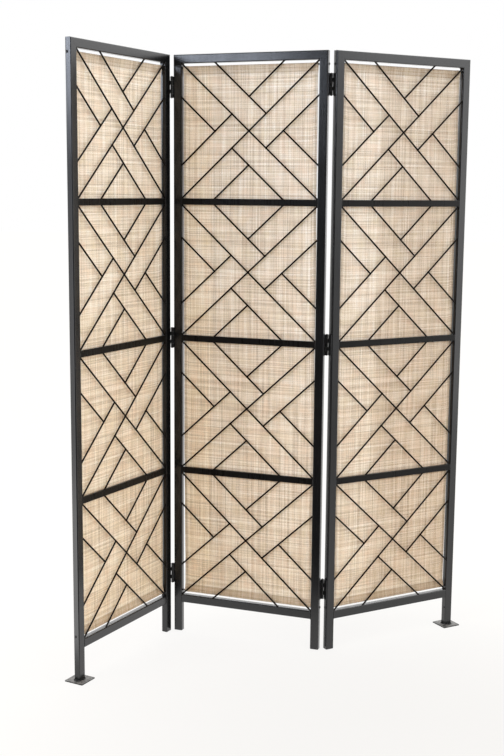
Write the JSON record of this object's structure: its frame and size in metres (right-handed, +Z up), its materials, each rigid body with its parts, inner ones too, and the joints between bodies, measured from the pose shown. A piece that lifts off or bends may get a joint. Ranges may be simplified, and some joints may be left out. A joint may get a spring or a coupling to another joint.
{
  "type": "folding partition",
  "caption": "Folding floor partition of hinged metal-framed panels, each with crossbars, rod lattices and a stretched woven cloth.",
  "frame": {"origin": "on the floor, under the middle of the box round the standing screen", "axes": "+X along the centre panel to its right as seen from the front, +Y to the back, +Z up"},
  "size_m": [0.9664, 0.9094, 1.78],
  "materials": {
    "frame": "semi-gloss dark gunmetal paint",
    "lattice": "semi-gloss dark brown paint",
    "cloth": "plain woven natural fibre with slubs",
    "steel": "bare drawn steel",
    "hinge": "black painted steel"
  },
  "bodies": {
    "centre_panel": {"centre_panel_left_upright": "frame", "centre_panel_right_upright": "frame", "centre_panel_top_rail": "frame", "centre_panel_bottom_rail": "frame", "centre_panel_crossbar_1": "frame", "centre_panel_crossbar_2": "frame", "centre_panel_crossbar_3": "frame", "centre_panel_lattice_1": "lattice", "centre_panel_lattice_2": "lattice", "centre_panel_lattice_3": "lattice", "centre_panel_lattice_4": "lattice", "centre_panel_cloth": "cloth", "centre_panel_top_hem_rod": "steel", "centre_panel_bottom_hem_rod": "steel", "hinge_left_top_centre_leaf": "hinge", "hinge_left_top_pin": "hinge", "hinge_left_middle_centre_leaf": "hinge", "hinge_left_middle_pin": "hinge", "hinge_left_bottom_centre_leaf": "hinge", "hinge_left_bottom_pin": "hinge", "hinge_right_top_centre_leaf": "hinge", "hinge_right_top_pin": "hinge", "hinge_right_middle_centre_leaf": "hinge", "hinge_right_middle_pin": "hinge", "hinge_right_bottom_centre_leaf": "hinge", "hinge_right_bottom_pin": "hinge"},
    "left_panel": {"left_panel_left_upright": "frame", "left_panel_right_upright": "frame", "left_panel_top_rail": "frame", "left_panel_bottom_rail": "frame", "left_panel_crossbar_1": "frame", "left_panel_crossbar_2": "frame", "left_panel_crossbar_3": "frame", "left_panel_lattice_1": "lattice", "left_panel_lattice_2": "lattice", "left_panel_lattice_3": "lattice", "left_panel_lattice_4": "lattice", "left_panel_cloth": "cloth", "left_panel_top_hem_rod": "steel", "left_panel_bottom_hem_rod": "steel", "hinge_left_top_outer_leaf": "hinge", "hinge_left_middle_outer_leaf": "hinge", "hinge_left_bottom_outer_leaf": "hinge"},
    "right_panel": {"right_panel_left_upright": "frame", "right_panel_right_upright": "frame", "right_panel_top_rail": "frame", "right_panel_bottom_rail": "frame", "right_panel_crossbar_1": "frame", "right_panel_crossbar_2": "frame", "right_panel_crossbar_3": "frame", "right_panel_lattice_1": "lattice", "right_panel_lattice_2": "lattice", "right_panel_lattice_3": "lattice", "right_panel_lattice_4": "lattice", "right_panel_cloth": "cloth", "right_panel_top_hem_rod": "steel", "right_panel_bottom_hem_rod": "steel", "hinge_right_top_outer_leaf": "hinge", "hinge_right_middle_outer_leaf": "hinge", "hinge_right_bottom_outer_leaf": "hinge"}
  },
  "joints": [
    {"name": "left_fold", "type": "hinge", "parent": "centre_panel", "child": "left_panel", "pos_m": [-0.36289, 0.04192, 0.937], "axis": [0, 0, 1], "range_deg": [-91, 96]},
    {"name": "right_fold", "type": "hinge", "parent": "centre_panel", "child": "right_panel", "pos_m": [0.12371, 0.06592, 0.937], "axis": [0, 0, 1], "range_deg": [-59, 128]}
  ]
}
